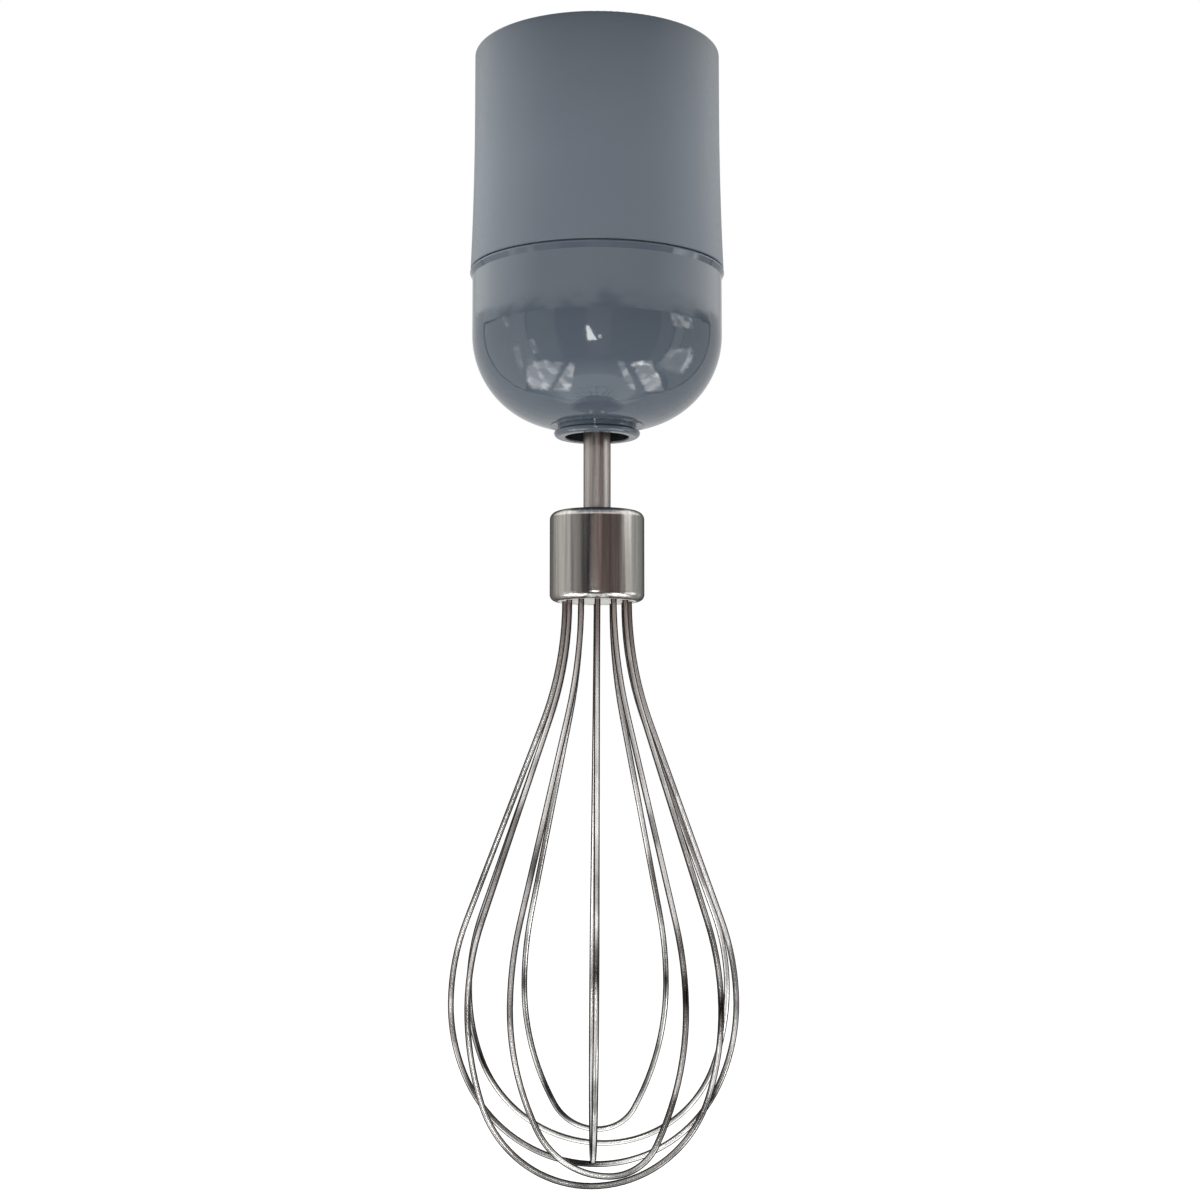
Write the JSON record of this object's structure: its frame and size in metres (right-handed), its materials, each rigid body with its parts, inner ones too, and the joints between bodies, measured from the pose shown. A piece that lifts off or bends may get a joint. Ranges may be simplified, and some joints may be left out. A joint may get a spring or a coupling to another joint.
{
  "type": "immersion blender whisk attachment",
  "caption": "Balloon whisk head for a stick blender: cup-shaped casing with reduction gearbox, steel shaft, ferrule and six wire loops.",
  "frame": {"origin": "centre of the seat that the motor unit's nose comes down on, on the shaft's axis", "axes": "+Z along the shaft's axis, out of the motor socket; the whisk hangs down along -Z; the five side-by-side loops face -Y and +Y"},
  "size_m": [0.0626, 0.0613, 0.2442],
  "materials": {
    "satin_shell": "satin moulded",
    "gloss_shell": "glossy moulded",
    "dark_plastic": "moulded",
    "natural_plastic": "moulded",
    "pale_plug": "moulded",
    "turned_steel": "drawn",
    "drawn_steel": "brushed round",
    "wire_steel": "polished",
    "screw_steel": "zinc plated",
    "bush_bronze": "sintered",
    "black_rubber": "moulded"
  },
  "bodies": {
    "housing": {"upper_casing": "satin_shell", "lower_casing": "gloss_shell", "gearbox_cover": "dark_plastic", "casing_screws": "screw_steel", "input_bush": "bush_bronze", "ring_gear": "natural_plastic", "gear_housing": "dark_plastic", "thrust_washer": "turned_steel", "upper_bush": "bush_bronze", "lower_bush": "bush_bronze", "shaft_seal": "black_rubber"},
    "input": {"drive_coupling": "natural_plastic", "input_shaft": "turned_steel", "sun_pinion": "turned_steel"},
    "whisk": {"planet_carrier": "dark_plastic", "planet_pins": "turned_steel", "whisk_shaft": "turned_steel", "retaining_ring": "turned_steel", "ferrule": "drawn_steel", "wire_plug": "pale_plug", "wire_loop_middle": "wire_steel", "wire_loop_front": "wire_steel", "wire_loop_rear": "wire_steel", "wire_loop_front_outer": "wire_steel", "wire_loop_rear_outer": "wire_steel", "wire_loop_cross": "wire_steel"},
    "planet_1": {"planet_gear_1": "natural_plastic"},
    "planet_2": {"planet_gear_2": "natural_plastic"},
    "planet_3": {"planet_gear_3": "natural_plastic"}
  },
  "joints": [
    {"name": "whisk_spin", "type": "hinge", "parent": "housing", "child": "whisk", "pos_m": [0, 0, -0.05], "axis": [0, 0, 1], "continuous": true},
    {"name": "input_spin", "type": "hinge", "parent": "housing", "child": "input", "pos_m": [0, 0, -0.012], "axis": [0, 0, 1], "continuous": true},
    {"name": "planet_1_spin", "type": "hinge", "parent": "whisk", "child": "planet_1", "pos_m": [0.0105, 0, -0.018], "axis": [0, 0, 1], "continuous": true},
    {"name": "planet_2_spin", "type": "hinge", "parent": "whisk", "child": "planet_2", "pos_m": [-0.00525, 0.00909, -0.018], "axis": [0, 0, 1], "continuous": true},
    {"name": "planet_3_spin", "type": "hinge", "parent": "whisk", "child": "planet_3", "pos_m": [-0.00525, -0.00909, -0.018], "axis": [0, 0, 1], "continuous": true}
  ],
  "couplings": [
    {"joint": "input_spin", "follows": "whisk_spin", "ratio": 5},
    {"joint": "planet_1_spin", "follows": "whisk_spin", "ratio": -2.6667},
    {"joint": "planet_2_spin", "follows": "whisk_spin", "ratio": -2.6667},
    {"joint": "planet_3_spin", "follows": "whisk_spin", "ratio": -2.6667}
  ]
}
